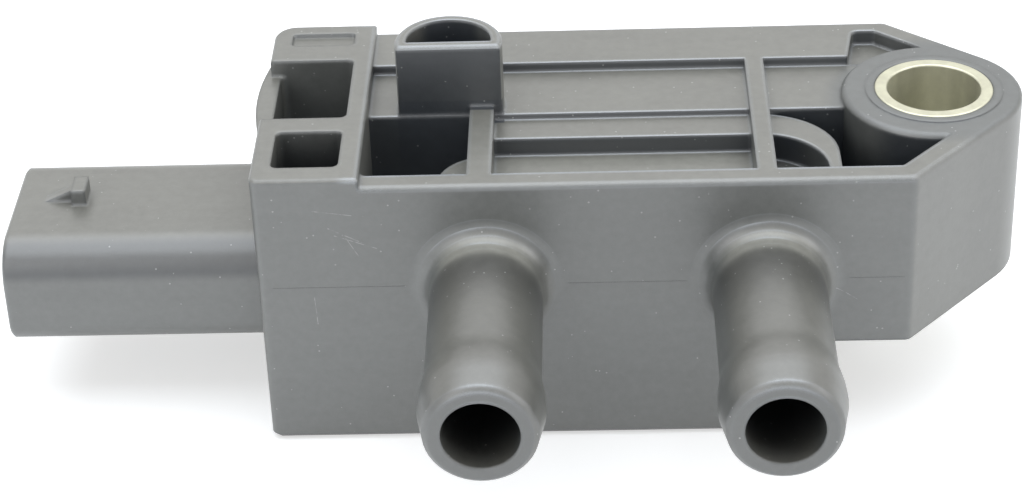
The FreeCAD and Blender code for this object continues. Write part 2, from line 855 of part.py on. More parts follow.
def protective_gel():
    half = module_wall / 2
    top = module_floor_z + pedestal_height + die_thickness + gel_cover
    fill = rounded_box(module_left + module_wall, divider_x - half, module_front + module_wall,
                       module_back - module_wall, module_floor_z, top, 0)
    part = die_size / 2
    island = box(nozzle_high_x - part, nozzle_high_x + part, die_y - part, die_y + part,
                 module_floor_z - margin, top - gel_cover)
    return fill.cut(island)


def signal_chip():
    """A moulded chip on bent leads, which stand on the board."""
    body = box(chip_x - chip_length / 2, chip_x + chip_length / 2, chip_y - chip_width / 2,
               chip_y + chip_width / 2, board_top + chip_lift, board_top + chip_height)
    shapes = [body]
    level = board_top + chip_height / 2
    skin = chip_lead_thickness
    for side in (-1, 1):
        root_y = chip_y + side * (chip_width / 2 - skin)
        foot_y = chip_y + side * (chip_width / 2 + chip_lead_reach)
        knee_y = (root_y + foot_y) / 2
        outline = [(V(0, root_y, level), 0), (V(0, knee_y, level), 0), (V(0, knee_y, board_top), 0),
                   (V(0, foot_y, board_top), 0), (V(0, foot_y, board_top + skin), 0),
                   (V(0, knee_y + side * skin, board_top + skin), 0),
                   (V(0, knee_y + side * skin, level + skin), 0), (V(0, root_y, level + skin), 0)]
        for index in range(chip_lead_rows):
            lead_x = chip_x + (index - (chip_lead_rows - 1) / 2) * chip_lead_pitch
            lead = Part.Face(rounded_wire(outline)).extrude(V(chip_lead_width, 0, 0))
            lead.translate(V(lead_x - chip_lead_width / 2, 0, 0))
            shapes.append(lead)
    return join(shapes)


def small_part(row, height):
    """A small two-ended part: a ceramic middle between two slightly larger metal ends."""
    x0 = small_part_x - small_part_length / 2
    x1 = small_part_x + small_part_length / 2
    y = plug_mid_y + row * small_part_pitch
    half = small_part_width / 2
    swell = small_part_swell
    top = board_top + height
    middle = box(x0 + swell, x1 - swell, y - half, y + half, board_top + swell, top - swell)
    left = box(x0, x0 + small_part_cap, y - half - swell, y + half + swell, board_top, top)
    right = box(x1 - small_part_cap, x1, y - half - swell, y + half + swell, board_top, top)
    return join([middle, left, right])


def main():
    os.makedirs("parts", exist_ok=True)
    write("housing", housing())
    write("fixing_sleeve", fixing_sleeve())
    write("base_cover", base_cover())
    write("cover_seal", cover_seal())
    for name, y in zip(("supply", "signal", "ground"), terminal_places()):
        write("terminal_" + name, terminal_blade(y))
    write("chamber_plate", chamber_plate())
    write("port_seal_high", port_seal(nozzle_high_x))
    write("port_seal_low", port_seal(nozzle_low_x))
    write("circuit_board", circuit_board())
    write("module_body", module_body())
    write("module_lid", module_lid())
    write("module_leads", Part.makeCompound(module_leads()))
    write("glass_pedestal", glass_pedestal())
    write("pressure_die", pressure_die())
    write("protective_gel", protective_gel())
    write("signal_chip", signal_chip())
    write("supply_capacitor", small_part(1, capacitor_height))
    write("signal_capacitor", small_part(0, capacitor_height))
    write("filter_resistor", small_part(-1, resistor_height))


main()
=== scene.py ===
import json
import math

import bmesh
import bpy
from bpy.props import FloatProperty, FloatVectorProperty, PointerProperty
from bpy.types import Operator, Panel, PropertyGroup
from mathutils import Matrix, Vector


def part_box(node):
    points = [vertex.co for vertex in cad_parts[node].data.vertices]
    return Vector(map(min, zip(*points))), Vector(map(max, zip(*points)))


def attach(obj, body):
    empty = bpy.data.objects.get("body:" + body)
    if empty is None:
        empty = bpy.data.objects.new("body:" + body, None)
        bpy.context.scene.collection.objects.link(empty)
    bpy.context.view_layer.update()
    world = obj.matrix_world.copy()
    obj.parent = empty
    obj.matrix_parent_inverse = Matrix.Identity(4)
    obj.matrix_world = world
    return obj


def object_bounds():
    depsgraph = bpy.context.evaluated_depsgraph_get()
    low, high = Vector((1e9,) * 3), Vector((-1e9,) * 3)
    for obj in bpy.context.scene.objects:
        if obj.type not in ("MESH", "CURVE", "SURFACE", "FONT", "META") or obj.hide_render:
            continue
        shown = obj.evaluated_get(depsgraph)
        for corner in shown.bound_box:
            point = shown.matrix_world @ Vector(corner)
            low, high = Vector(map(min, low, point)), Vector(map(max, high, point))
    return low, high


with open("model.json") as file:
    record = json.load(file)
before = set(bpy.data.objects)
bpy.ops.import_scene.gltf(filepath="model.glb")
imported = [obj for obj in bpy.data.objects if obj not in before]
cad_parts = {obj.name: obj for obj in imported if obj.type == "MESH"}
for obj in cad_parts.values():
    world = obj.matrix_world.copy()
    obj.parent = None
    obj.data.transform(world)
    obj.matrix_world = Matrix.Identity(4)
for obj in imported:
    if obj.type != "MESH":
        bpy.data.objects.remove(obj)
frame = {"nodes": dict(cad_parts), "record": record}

bl_info = {
    "name": "Differential Pressure Sensor",
    "version": (1, 0, 0),
    "blender": (4, 5, 0),
    "location": "View3D > Sidebar > Sensor",
    "description": "Dresses the packed pressure sensor: plastic, sleeve, terminals and board",
    "category": "Object",
}

MM = 0.001
CAD_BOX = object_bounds()
WHITE = (1.0, 1.0, 1.0, 1.0)
COOL = (0.88, 0.94, 1.0, 1.0)

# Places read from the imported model
BOARD_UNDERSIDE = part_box("circuit_board")[0].z
MOUNTS = {mount["name"]: mount for mount in frame["record"]["mounts"]}
NIPPLE_HIGH = Vector(MOUNTS["hose_nipple_high"]["pos_m"])
NIPPLE_LOW = Vector(MOUNTS["hose_nipple_low"]["pos_m"])
NIPPLE_REACH = MOUNTS["hose_nipple_high"]["dims"]["length_mm"] * MM
FRONT_Y = NIPPLE_HIGH.y + NIPPLE_REACH
PEG_X = MOUNTS["locating_peg"]["pos_m"][0]
PEG_RADIUS = MOUNTS["locating_peg"]["dims"]["r_mm"] * MM

# Places on the housing that the frame has no name for, as the CAD has them
BODY_LEFT = -47.8 * MM
BLOCK_RIGHT = -41.0 * MM
BODY_CORNER = -2.5 * MM
EYE_RADIUS = 6.24 * MM
NIPPLE_FLARE = 5.6 * MM
PEG_LEDGE_Y = -1.1 * MM
PEG_LEDGE_TOP = 0.3 * MM
LOW_FLOOR_TOP = -1.8 * MM

# Scales of the noises and cells, in steps per metre
CLOUD_SCALE = 110.0
FLOW_SCALE = 900.0
MOTTLE_SCALE = 1500.0
GRAIN_SCALE = 5200.0
DUST_SCALE = 1600.0
DUST_PATCH_SCALE = 700.0

# Tones that no setting covers
DUST = (0.62, 0.62, 0.60, 1.0)
CERAMIC = (0.34, 0.25, 0.16, 1.0)
TINNED_END = (0.66, 0.65, 0.62, 1.0)
SOLDER = (0.62, 0.62, 0.60)
CERAMIC_END = 0.4 * MM

BLADES = ("terminal_supply", "terminal_signal", "terminal_ground")


class Field:
    """A shader socket that takes part in Python arithmetic by adding Math nodes."""

    def __init__(self, recipe, socket):
        self.recipe = recipe
        self.socket = socket

    def join(self, operation, first, second=0.0):
        return self.recipe.node("ShaderNodeMath", {"operation": operation}, {0: first, 1: second})

    def __add__(self, other):
        return self.join("ADD", self, other)

    def __radd__(self, other):
        return self.join("ADD", other, self)

    def __sub__(self, other):
        return self.join("SUBTRACT", self, other)

    def __rsub__(self, other):
        return self.join("SUBTRACT", other, self)

    def __mul__(self, other):
        return self.join("MULTIPLY", self, other)

    def __rmul__(self, other):
        return self.join("MULTIPLY", other, self)

    def __gt__(self, other):
        return self.join("GREATER_THAN", self, other)

    def __lt__(self, other):
        return self.join("LESS_THAN", self, other)

    def __abs__(self):
        return self.join("ABSOLUTE", self)

    def __or__(self, other):
        return self.join("MAXIMUM", self, other)

    def __mod__(self, other):
        return self.join("FLOORED_MODULO", self, other)


class Recipe:
    """The nodes of a material or a world. Every node comes from the node method."""

    def __init__(self, owner):
        owner.use_nodes = True
        self.owner = owner
        self.tree = owner.node_tree
        self.tree.nodes.clear()

    def node(self, kind, settings=None, inputs=None, output=0):
        made = self.tree.nodes.new(kind)
        for key, value in (settings or {}).items():
            setattr(made, key, value)
        for key, value in (inputs or {}).items():
            if isinstance(value, Field):
                self.tree.links.new(value.socket, made.inputs[key])
            else:
                made.inputs[key].default_value = value
        if isinstance(output, tuple):
            return [Field(self, made.outputs[name]) for name in output]
        return Field(self, made.outputs[output]) if made.outputs else None

    def place(self):
        """Where the shaded point is, in metres, in the part's own frame."""
        return self.node("ShaderNodeTexCoord", output="Object")

    def axes(self, vector):
        return self.node("ShaderNodeSeparateXYZ", inputs={0: vector}, output=(0, 1, 2))

    def facing(self):
        """The surface's own direction in the part's frame, as three numbers."""
        return self.axes(self.node("ShaderNodeTexCoord", output="Normal"))

    def noise(self, scale, detail=3.0, roughness=0.5, vector=None):
        inputs = {"Vector": vector or self.place(), "Scale": scale, "Detail": detail,
                  "Roughness": roughness}
        return self.node("ShaderNodeTexNoise", None, inputs)

    def cells(self, scale):
        inputs = {"Vector": self.place(), "Scale": scale}
        return self.node("ShaderNodeTexVoronoi", {"feature": "F1"}, inputs, "Distance")

    def stretched(self, scale):
        """The place, stretched by scale, for marks that run one way."""
        return self.node("ShaderNodeMapping", None, {"Vector": self.place(), "Scale": scale})

    def ramp(self, value, low, high, start=0.0, end=1.0):
        """A smooth step of value from low to high."""
        inputs = {"Value": value, "From Min": low, "From Max": high, "To Min": start,
                  "To Max": end}
        return self.node("ShaderNodeMapRange", {"interpolation_type": "SMOOTHSTEP"}, inputs)

    def blend(self, factor, first, second, mode="MIX"):
        """A colour between two colours or coloured sockets."""
        settings = {"data_type": "RGBA", "blend_type": mode, "clamp_factor": True}
        return self.node("ShaderNodeMix", settings, {0: factor, 6: first, 7: second}, output=2)

    def toned(self, base, tone):
        """The base colour made lighter or darker by a changing number."""
        grey = self.node("ShaderNodeCombineXYZ", None, {0: tone, 1: tone, 2: tone})
        return self.blend(1.0, base, grey, mode="MULTIPLY")

    def bump(self, height, distance, strength=1.0, normal=None):
        inputs = {"Height": height, "Distance": distance, "Strength": strength}
        if normal is not None:
            inputs["Normal"] = normal
        return self.node("ShaderNodeBump", None, inputs)

    def rounded(self, reach):
        """The surface's direction as if every edge were rounded by reach."""
        return self.node("ShaderNodeBevel", {"samples": 6}, {"Radius": reach})

    def turned_away(self, direction):
        """One where a direction leaves that of the flat surface, as it does along an edge."""
        flat = self.node("ShaderNodeNewGeometry", output="True Normal")
        same = self.node("ShaderNodeVectorMath", {"operation": "DOT_PRODUCT"},
                         {0: direction, 1: flat}, "Value")
        return self.ramp(1.0 - same, 0.004, 0.045)

    def scratch(self, across, along, start, end, width):
        """A thin line on a flat wall, from start to end in two of its axes."""
        step = (end[0] - start[0], end[1] - start[1])
        length = math.hypot(*step)
        ahead = (step[0] / length, step[1] / length)
        run = (across - start[0]) * ahead[0] + (along - start[1]) * ahead[1]
        off = (across - start[0]) * ahead[1] - (along - start[1]) * ahead[0]
        return (abs(off) < width) * (run > 0.0) * (run < length)

    def finish(self, inputs):
        surface = self.node("ShaderNodeBsdfPrincipled", None, inputs)
        self.node("ShaderNodeOutputMaterial", None, {"Surface": surface})
        return self.owner


def recipe(name):
    """The recipe of a new material of that name."""
    return Recipe(bpy.data.materials.new(name))


def colour(value):
    """A colour property with full opacity, for a socket."""
    return (value[0], value[1], value[2], 1.0)


def dress(node, material):
    """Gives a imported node's object the material in every slot."""
    mesh = frame["nodes"][node].data
    mesh.materials.clear()
    mesh.materials.append(material)


def ease_edges(node, width, segments=2, angle=30.0):
    """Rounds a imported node's sharp edges by a small real amount."""
    piece = frame["nodes"][node]
    weld = piece.modifiers.new("Weld", "WELD")
    weld.merge_threshold = 1e-6
    flats = piece.modifiers.new("Flats", "DECIMATE")
    flats.decimate_type = "DISSOLVE"
    flats.angle_limit = math.radians(0.3)
    bevel = piece.modifiers.new("Edges", "BEVEL")
    bevel.width = width
    bevel.segments = segments
    bevel.limit_method = "ANGLE"
    bevel.angle_limit = math.radians(angle)
    bevel.miter_outer = "MITER_ARC"
    bevel.use_clamp_overlap = True
    shading = piece.modifiers.new("Even shading", "WEIGHTED_NORMAL")
    shading.mode = "FACE_AREA_WITH_ANGLE"
    shading.weight = 50


def add_piece(name, shape, material):
    """Makes a piece of its own from a bmesh, on the part's one body."""
    bmesh.ops.recalc_face_normals(shape, faces=shape.faces)
    mesh = bpy.data.meshes.new(name)
    shape.to_mesh(mesh)
    shape.free()
    piece = bpy.data.objects.new(name, mesh)
    mesh.materials.append(material)
    bpy.context.scene.collection.objects.link(piece)
    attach(piece, "root")
    return piece


class SensorHousingFinish(PropertyGroup):
    """Colours and sizes of the moulded body's finish, and the colours of its painted light and
    shade.
    """

    # Painted light: the tops are painted this lighter colour as if lit from above
    lit_top_colour: FloatVectorProperty(
        name="Top", description="Colour of the faces that look up", subtype="COLOR",
        default=(0.148, 0.145, 0.127), min=0.0, max=1.0)
    side_colour: FloatVectorProperty(
        name="Side", description="Colour of the outer upright faces", subtype="COLOR",
        default=(0.118, 0.123, 0.118), min=0.0, max=1.0)
    # Painted shade in the pockets, where little light gets in
    pocket_shade_colour: FloatVectorProperty(
        name="Pocket", description="Colour of the walls inside the pockets", subtype="COLOR",
        default=(0.022, 0.024, 0.026), min=0.0, max=1.0)
    # Painted shade on the inner step walls, the peg's foot and the plug shell's upper turn
    painted_shade_colour: FloatVectorProperty(
        name="Inner wall", description="Colour of the upright faces inside the top",
        subtype="COLOR", default=(0.020, 0.026, 0.036), min=0.0, max=1.0)
    # Painted highlight colour along the edges
    edge_highlight_colour: FloatVectorProperty(
        name="Edge", description="Colour of the painted edge highlights", subtype="COLOR",
        default=(0.46, 0.49, 0.53), min=0.0, max=1.0)
    edge_width: FloatProperty(
        name="Edge rounding", description="Width of the eased edges", default=0.26 * MM,
        unit="LENGTH", min=0.0)
    edge_softness: FloatProperty(
        name="Edge softness", description="Reach of the soft highlight over an eased edge",
        default=0.45 * MM, unit="LENGTH", min=0.0)
    parting_level: FloatProperty(
        name="Parting level", description="Height of the mould's parting line",
        default=-8.13 * MM, unit="LENGTH")
    parting_height: FloatProperty(
        name="Parting height", description="Height of the raised parting line", default=0.07 * MM,
        unit="LENGTH", min=0.0)
    parting_proud: FloatProperty(
        name="Parting reach", description="How far the parting line stands out",
        default=0.015 * MM, unit="LENGTH", min=0.0)


class SensorMetalFinish(PropertyGroup):
    """Colours of the sleeve, the terminals and the solder."""

    sleeve_colour: FloatVectorProperty(
        name="Sleeve", description="Colour of the plated sleeve", subtype="COLOR",
        default=(0.67, 0.655, 0.505), min=0.0, max=1.0)
    bore_colour: FloatVectorProperty(
        name="Bore", description="Colour inside the sleeve", subtype="COLOR",
        default=(0.62, 0.61, 0.50), min=0.0, max=1.0)
    tin_colour: FloatVectorProperty(
        name="Tin", description="Colour of the tinned terminals", subtype="COLOR",
        default=(0.70, 0.69, 0.66), min=0.0, max=1.0)
    joint_radius: FloatProperty(
        name="Solder joint", description="Radius of the solder round a terminal's leg",
        default=1.0 * MM, unit="LENGTH", min=0.0)
    joint_height: FloatProperty(
        name="Solder height", description="How far the solder climbs the leg", default=0.55 * MM,
        unit="LENGTH", min=0.0)


class SensorBoardFinish(PropertyGroup):
    """Colours of the circuit board."""

    resist_colour: FloatVectorProperty(
        name="Resist", description="Colour of the solder resist", subtype="COLOR",
        default=(0.02, 0.13, 0.045), min=0.0, max=1.0)
    track_colour: FloatVectorProperty(
        name="Tracks", description="Colour of the resist over copper", subtype="COLOR",
        default=(0.05, 0.24, 0.09), min=0.0, max=1.0)
    track_pitch: FloatProperty(
        name="Track pitch", description="Distance between neighbouring tracks", default=1.27 * MM,
        unit="LENGTH", min=1e-5)
    track_width: FloatProperty(
        name="Track width", description="Width of a track", default=0.4 * MM, unit="LENGTH",
        min=0.0)


class SensorStageSettings(PropertyGroup):
    """Floor, lamps and camera."""

    floor_colour: FloatVectorProperty(
        name="Floor", description="Colour of the floor", subtype="COLOR",
        default=(0.80, 0.80, 0.80), min=0.0, max=1.0)
    world_strength: FloatProperty(
        name="World", description="Strength of the soft light from all round", default=0.45,
        min=0.0)
    camera_place: FloatVectorProperty(
        name="Camera", description="Where the camera stands", subtype="TRANSLATION",
        default=(-24.28 * MM, -167.68 * MM, 94.04 * MM), unit="LENGTH")
    camera_azimuth: FloatProperty(
        name="Azimuth", description="The camera's heading, from +Y", default=math.radians(-2.567),
        subtype="ANGLE")
    camera_elevation: FloatProperty(
        name="Elevation", description="How far the camera looks down",
        default=math.radians(31.924), subtype="ANGLE")
    camera_roll: FloatProperty(
        name="Roll", description="The camera's turn about its own axis",
        default=math.radians(-2.477), subtype="ANGLE")
    camera_lens: FloatProperty(
        name="Lens", description="Focal length on a 36 mm sensor, in millimetres", default=94.39,
        min=1.0)
    camera_shift: FloatVectorProperty(
        name="Shift", description="Shift of the picture, as the photograph is framed", size=2,
        default=(0.01895, -0.0288))


# Scratches on the front wall, each from (x, z) to (x, z) with half its width
FRONT_SCRATCHES = [
    ((-42.6 * MM, -3.3 * MM), (-40.3 * MM, -4.5 * MM), 0.035 * MM),
    ((-42.2 * MM, -3.9 * MM), (-39.3 * MM, -5.0 * MM), 0.028 * MM),
    ((-41.4 * MM, -4.1 * MM), (-40.6 * MM, -5.6 * MM), 0.025 * MM),
    ((-43.6 * MM, -1.9 * MM), (-40.9 * MM, -2.3 * MM), 0.025 * MM),
    ((-43.9 * MM, -8.9 * MM), (-43.8 * MM, -11.2 * MM), 0.03 * MM),
    ((-7.9 * MM, -8.7 * MM), (-6.2 * MM, -9.9 * MM), 0.025 * MM),
]


def front_scratches(mix, x, z):
    """One on any of the scratches, in the plane of the front wall."""
    marks = None
    for start, end, width in FRONT_SCRATCHES:
        mark = mix.scratch(x, z, start, end, width)
        marks = mark if marks is None else marks | mark
    return marks


def housing_material(finish):
    """Glass-filled black plastic that has gone grey and shiny with handling, with painted light
    and shade on it.
    """
    mix = recipe("moulded_black_plastic")
    x, y, z = mix.axes(mix.place())
    face_x, face_y, face_z = mix.facing()
    forward = 0.0 - face_y
    out = FRONT_Y - y

    # Colour by the way a face looks, as painted light: tops, and less so faces that look right,
    # painted lighter as if lit; painted shade where little light gets in
    up = mix.ramp(face_z, 0.35, 0.85)
    right = mix.ramp(face_x, 0.3, 0.8)
    off_eye = mix.ramp(x * x + y * y, EYE_RADIUS ** 2, (EYE_RADIUS + 2.0 * MM) ** 2)
    base = mix.blend(right * 0.6, colour(finish.side_colour), colour(finish.lit_top_colour))
    base = mix.blend(up * off_eye, base, colour(finish.lit_top_colour))
    open_air = mix.node("ShaderNodeAmbientOcclusion", {"samples": 8}, {"Distance": 7 * MM},
                        output="AO")
    base = mix.blend(mix.ramp(open_air, 0.15, 0.50), colour(finish.pocket_shade_colour), base)

    # Painted shade on the step walls inside the top, the ledge at the peg's foot and the plug
    # shell's upper turn
    shaded_inner_walls = mix.ramp(forward, 0.66, 0.9) * (out < -1.2 * MM) * (x > BLOCK_RIGHT)
    foot_shade = (abs(y - PEG_LEDGE_Y) < 0.5 * MM) * (abs(x - PEG_X) < PEG_RADIUS)
    foot_shade = foot_shade * (z < PEG_LEDGE_TOP)
    turn = mix.ramp(forward, 0.15, 0.5) * mix.ramp(face_z, 0.1, 0.4) * (x < BODY_LEFT)
    painted_dim = (shaded_inner_walls * 0.75) | (foot_shade * 0.85) | (turn * 0.6)
    base = mix.blend(painted_dim, base, colour(finish.painted_shade_colour))

    # Painted light along a nipple: a painted highlight on the flare's top, painted shade on the
    # root and the shaft; the low floor painted lighter as if lit, the eye a little darker
    flare_highlight = mix.ramp(out, 0.1 * MM, 0.7 * MM) * (1.0 - mix.ramp(out, 1.4 * MM, 2.2 * MM))
    root = mix.ramp(out, 1.6 * MM, 2.6 * MM) * (1.0 - mix.ramp(out, 3.0 * MM, 9.0 * MM))
    shaft_shade = mix.ramp(out, 1.2 * MM, 3.5 * MM)
    lit_low_floor = up * (z < LOW_FLOOR_TOP) * (x > BLOCK_RIGHT) * (out < -1.0 * MM)
    level = 0.88 + 0.12 * off_eye - 0.28 * shaft_shade - 0.34 * root
    level = level + 0.7 * flare_highlight * up + 0.35 * lit_low_floor
    mottle = mix.noise(MOTTLE_SCALE, 3.0, 0.65)
    cloud = mix.noise(CLOUD_SCALE, 3.0, 0.55)
    flow = mix.noise(FLOW_SCALE, 2.0, 0.5, mix.stretched((0.12, 1.0, 1.0)))
    base = mix.toned(base, level * (0.56 + 0.44 * mottle + 0.28 * cloud + 0.16 * flow))

    # Painted highlights along the edges, most of all those along the steps of the top
    soft = mix.rounded(finish.edge_softness)
    edge_x = mix.axes(soft)[0]
    along_x = 1.0 - mix.ramp(abs(edge_x), 0.1, 0.4)
    inside = mix.ramp(x, BLOCK_RIGHT - 1.0 * MM, BLOCK_RIGHT)
    inside = inside * mix.ramp(z, -7.0 * MM, -3.5 * MM)
    edge_highlight = mix.turned_away(soft) * (0.06 + 0.12 * inside + 0.62 * inside * along_x)
    edge_highlight = edge_highlight * off_eye * (1.0 - (foot_shade | shaded_inner_walls | turn))
    base = mix.blend(edge_highlight, base, colour(finish.edge_highlight_colour))

    # Dust lies thickest on the inner walls and the nipples' roots
    sparse = 0.58 - 0.08 * shaded_inner_walls - 0.14 * root
    dust = (mix.cells(DUST_SCALE) < 0.10) * (mix.noise(DUST_PATCH_SCALE, 1.0) > sparse)
    front = (face_y < -0.9) * (out > -0.5 * MM)
    marks = front_scratches(mix, x, z) * front * mix.ramp(mix.noise(2500.0, 2.0), 0.35, 0.6)
    base = mix.blend((dust * 0.4) | (marks * 0.35), base, DUST)

    grain = mix.noise(GRAIN_SCALE, 2.0, 0.6)
    gloss = 0.28 + 0.10 * cloud + 0.08 * mottle
    return mix.finish({"Base Color": base, "Roughness": gloss, "IOR": 2.0,
                       "Normal": mix.bump(grain, 0.012 * MM, 0.5, soft)})


def sleeve_material(finish):
    """Plated steel, spotted on its ring and drawn along its bore."""
    mix = recipe("plated_steel")
    up = mix.ramp(mix.facing()[2], 0.3, 0.9)
    base = mix.blend(up, colour(finish.bore_colour), colour(finish.sleeve_colour))
    drawn = mix.noise(700.0, 3.0, 0.6, mix.stretched((1.0, 1.0, 0.06)))
    streak = mix.ramp(mix.noise(260.0, 2.0, 0.5, mix.stretched((1.0, 1.0, 0.03))), 0.35, 0.65)
    spots = mix.noise(1600.0, 3.0, 0.6)
    tone = 0.62 + 0.35 * drawn + 0.22 * spots + (0.30 * streak) * (1.0 - up)
    base = mix.toned(base, tone)
    return mix.finish({"Base Color": base, "Metallic": 0.75, "Roughness": 0.26 + 0.22 * drawn,
                       "Normal": mix.bump(drawn, 0.012 * MM, 0.4)})


def plain_material(name, shade, roughness, metallic=0.0, grain_scale=1500.0):
    """A plain moulded, turned or sawn finish with a fine grain and a slight change of tone."""
    mix = recipe(name)
    grain = mix.noise(grain_scale, 3.0, 0.6)
    cloud = mix.noise(grain_scale / 12.0, 2.0)
    base = mix.toned(colour(shade), 0.80 + 0.20 * grain + 0.20 * cloud)
    return mix.finish({"Base Color": base, "Roughness": roughness - 0.05 + 0.1 * cloud,
                       "Metallic": metallic, "Normal": mix.bump(grain, 0.008 * MM, 0.5)})


def board_material(finish):
    """Green solder resist over tracks that run along the board, on a woven core."""
    mix = recipe("board_laminate")
    y = mix.axes(mix.place())[1]
    wander = mix.noise(90.0, 1.0) * (2.0 * MM)
    across = abs((y + wander) % finish.track_pitch - finish.track_pitch / 2)
    tracks = (across < finish.track_width / 2) * (mix.noise(160.0, 1.0) > 0.46)
    base = mix.blend(tracks, colour(finish.resist_colour), colour(finish.track_colour))
    weave = mix.noise(2600.0, 2.0, 0.5, mix.stretched((1.0, 0.3, 1.0)))
    base = mix.toned(base, 0.82 + 0.36 * weave)
    return mix.finish({"Base Color": base, "Roughness": 0.30 + 0.1 * weave,
                       "Normal": mix.bump(tracks, 0.02 * MM, 0.6)})


def ceramic_material(node):
    """A fired middle with tinned ends, told apart by the place along the part."""
    low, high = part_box(node)
    middle = (low.x + high.x) / 2
    end = (high.x - low.x) / 2 - CERAMIC_END
    mix = recipe(node + "_finish")
    tinned = abs(mix.axes(mix.place())[0] - middle) > end
    spots = mix.noise(3200.0, 3.0, 0.6)
    base = mix.toned(mix.blend(tinned, CERAMIC, TINNED_END), 0.80 + 0.4 * spots)
    return mix.finish({"Base Color": base, "Metallic": tinned * 0.9,
                       "Roughness": 0.42 - 0.15 * tinned,
                       "Normal": mix.bump(spots, 0.006 * MM, 0.5)})


def parting_runs():
    """The parting line's runs in plan, along the front wall and clear of the nipples' flares."""
    left, high, low = BODY_LEFT + 1.0 * MM, NIPPLE_HIGH.x, NIPPLE_LOW.x
    ends = (left, high - NIPPLE_FLARE, high + NIPPLE_FLARE, low - NIPPLE_FLARE,
            low + NIPPLE_FLARE, BODY_CORNER - 0.5 * MM)
    return [[Vector((start, FRONT_Y)), Vector((end, FRONT_Y))]
            for start, end in zip(ends[::2], ends[1::2])]


def join_rings(shape, rings):
    """Closes a row of rings of vertices into one skin, with a face at each end."""
    for ring, following in zip(rings, rings[1:]):
        for side in range(len(ring)):
            after = (side + 1) % len(ring)
            shape.faces.new((ring[side], ring[after], following[after], following[side]))
    shape.faces.new(rings[0])
    shape.faces.new(rings[-1])


def ridge_along(runs, level, height, proud):
    """A thin raised line on upright walls that follows runs of plan points."""
    shape = bmesh.new()
    section = ((-proud, -height / 2), (proud, -height / 4), (proud, height / 4),
               (-proud, height / 2))
    for run in runs:
        rings = []
        for index, point in enumerate(run):
            along = (run[min(index + 1, len(run) - 1)] - run[max(index - 1, 0)]).normalized()
            outward = Vector((along.y, -along.x))
            rings.append([shape.verts.new((*(point + outward * reach), level + rise))
                          for reach, rise in section])
        join_rings(shape, rings)
    return shape


def solder_cones(finish):
    """A small flared cone of solder round each blade's leg, on the board's underside."""
    shape = bmesh.new()
    leg_half = 0.315 * MM
    steps = 24
    # Each ring's share of the cone's radius and height
    profile = ((1.0, 0.0), (0.72, 0.2), (0.55, 0.5), (0.47, 1.0))
    corners = [Vector((math.cos(math.tau * step / steps), math.sin(math.tau * step / steps)))
               for step in range(steps)]
    for name in BLADES:
        low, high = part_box(name)
        leg = Vector((high.x - leg_half, (low.y + high.y) / 2))
        rings = []
        for reach, climb in profile:
            radius = finish.joint_radius * reach
            level = BOARD_UNDERSIDE - finish.joint_height * climb
            rings.append([shape.verts.new((*(leg + radius * corner), level))
                          for corner in corners])
        join_rings(shape, rings)
    return shape


class SENSOR_OT_housing(Operator):
    """Finish the moulded body with its plug shell, hose nipples and fixing eye"""

    bl_idname = "sensor.housing"
    bl_label = "Moulded body"

    def execute(self, context):
        finish = context.scene.sensor_housing
        plastic = housing_material(finish)
        dress("housing", plastic)
        ease_edges("housing", finish.edge_width, 3)
        ridge = ridge_along(parting_runs(), finish.parting_level, finish.parting_height,
                            finish.parting_proud)
        add_piece("parting_line", ridge, plastic)
        return {"FINISHED"}


class SENSOR_OT_sleeve(Operator):
    """Finish the plated sleeve in the fixing eye"""

    bl_idname = "sensor.sleeve"
    bl_label = "Fixing sleeve"

    def execute(self, context):
        dress("fixing_sleeve", sleeve_material(context.scene.sensor_metal))
        ease_edges("fixing_sleeve", 0.15 * MM, 3)
        return {"FINISHED"}


class SENSOR_OT_cover(Operator):
    """Finish the base cover and its sealing bead"""

    bl_idname = "sensor.cover"
    bl_label = "Base cover"

    def execute(self, context):
        dress("base_cover", plain_material("cover_plastic", (0.05, 0.05, 0.052), 0.5))
        dress("cover_seal", plain_material("cover_sealant", (0.02, 0.02, 0.02), 0.35))
        ease_edges("base_cover", 0.2 * MM)
        return {"FINISHED"}


class SENSOR_OT_terminals(Operator):
    """Finish the three tinned blades and solder them to the board"""

    bl_idname = "sensor.terminals"
    bl_label = "Terminals"

    def execute(self, context):
        finish = context.scene.sensor_metal
        tin = plain_material("tinned_brass", finish.tin_colour, 0.28, 1.0)
        for name in (*BLADES, "module_leads"):
            dress(name, tin)
        for name in BLADES:
            ease_edges(name, 0.06 * MM)
        solder = plain_material("solder", SOLDER, 0.22, 1.0)
        piece = add_piece("solder_joints", solder_cones(finish), solder)
        for face in piece.data.polygons:
            face.use_smooth = len(face.vertices) == 4
        return {"FINISHED"}


class SENSOR_OT_electronics(Operator):
    """Finish the board, the pressure module and everything else inside"""

    bl_idname = "sensor.electronics"
    bl_label = "Electronics"

    def execute(self, context):
        dress("circuit_board", board_material(context.scene.sensor_board))
        package = plain_material("moulded_epoxy", (0.03, 0.03, 0.032), 0.45)
        for name in ("module_body", "module_lid", "signal_chip"):
            dress(name, package)
            ease_edges(name, 0.05 * MM)
        for name in ("supply_capacitor", "signal_capacitor", "filter_resistor"):
            dress(name, ceramic_material(name))
            ease_edges(name, 0.04 * MM)
        rubber = plain_material("seal_rubber", (0.018, 0.018, 0.018), 0.6)
        for name in ("port_seal_high", "port_seal_low"):
            dress(name, rubber)
        dress("chamber_plate", plain_material("inner_plastic", (0.04, 0.04, 0.042), 0.5))
        dress("glass_pedestal", plain_material("pedestal_glass", (0.62, 0.70, 0.67), 0.15))
        dress("pressure_die", plain_material("die_silicon", (0.10, 0.10, 0.13), 0.12))
        dress("protective_gel", plain_material("clear_gel", (0.60, 0.64, 0.64), 0.08))
        return {"FINISHED"}


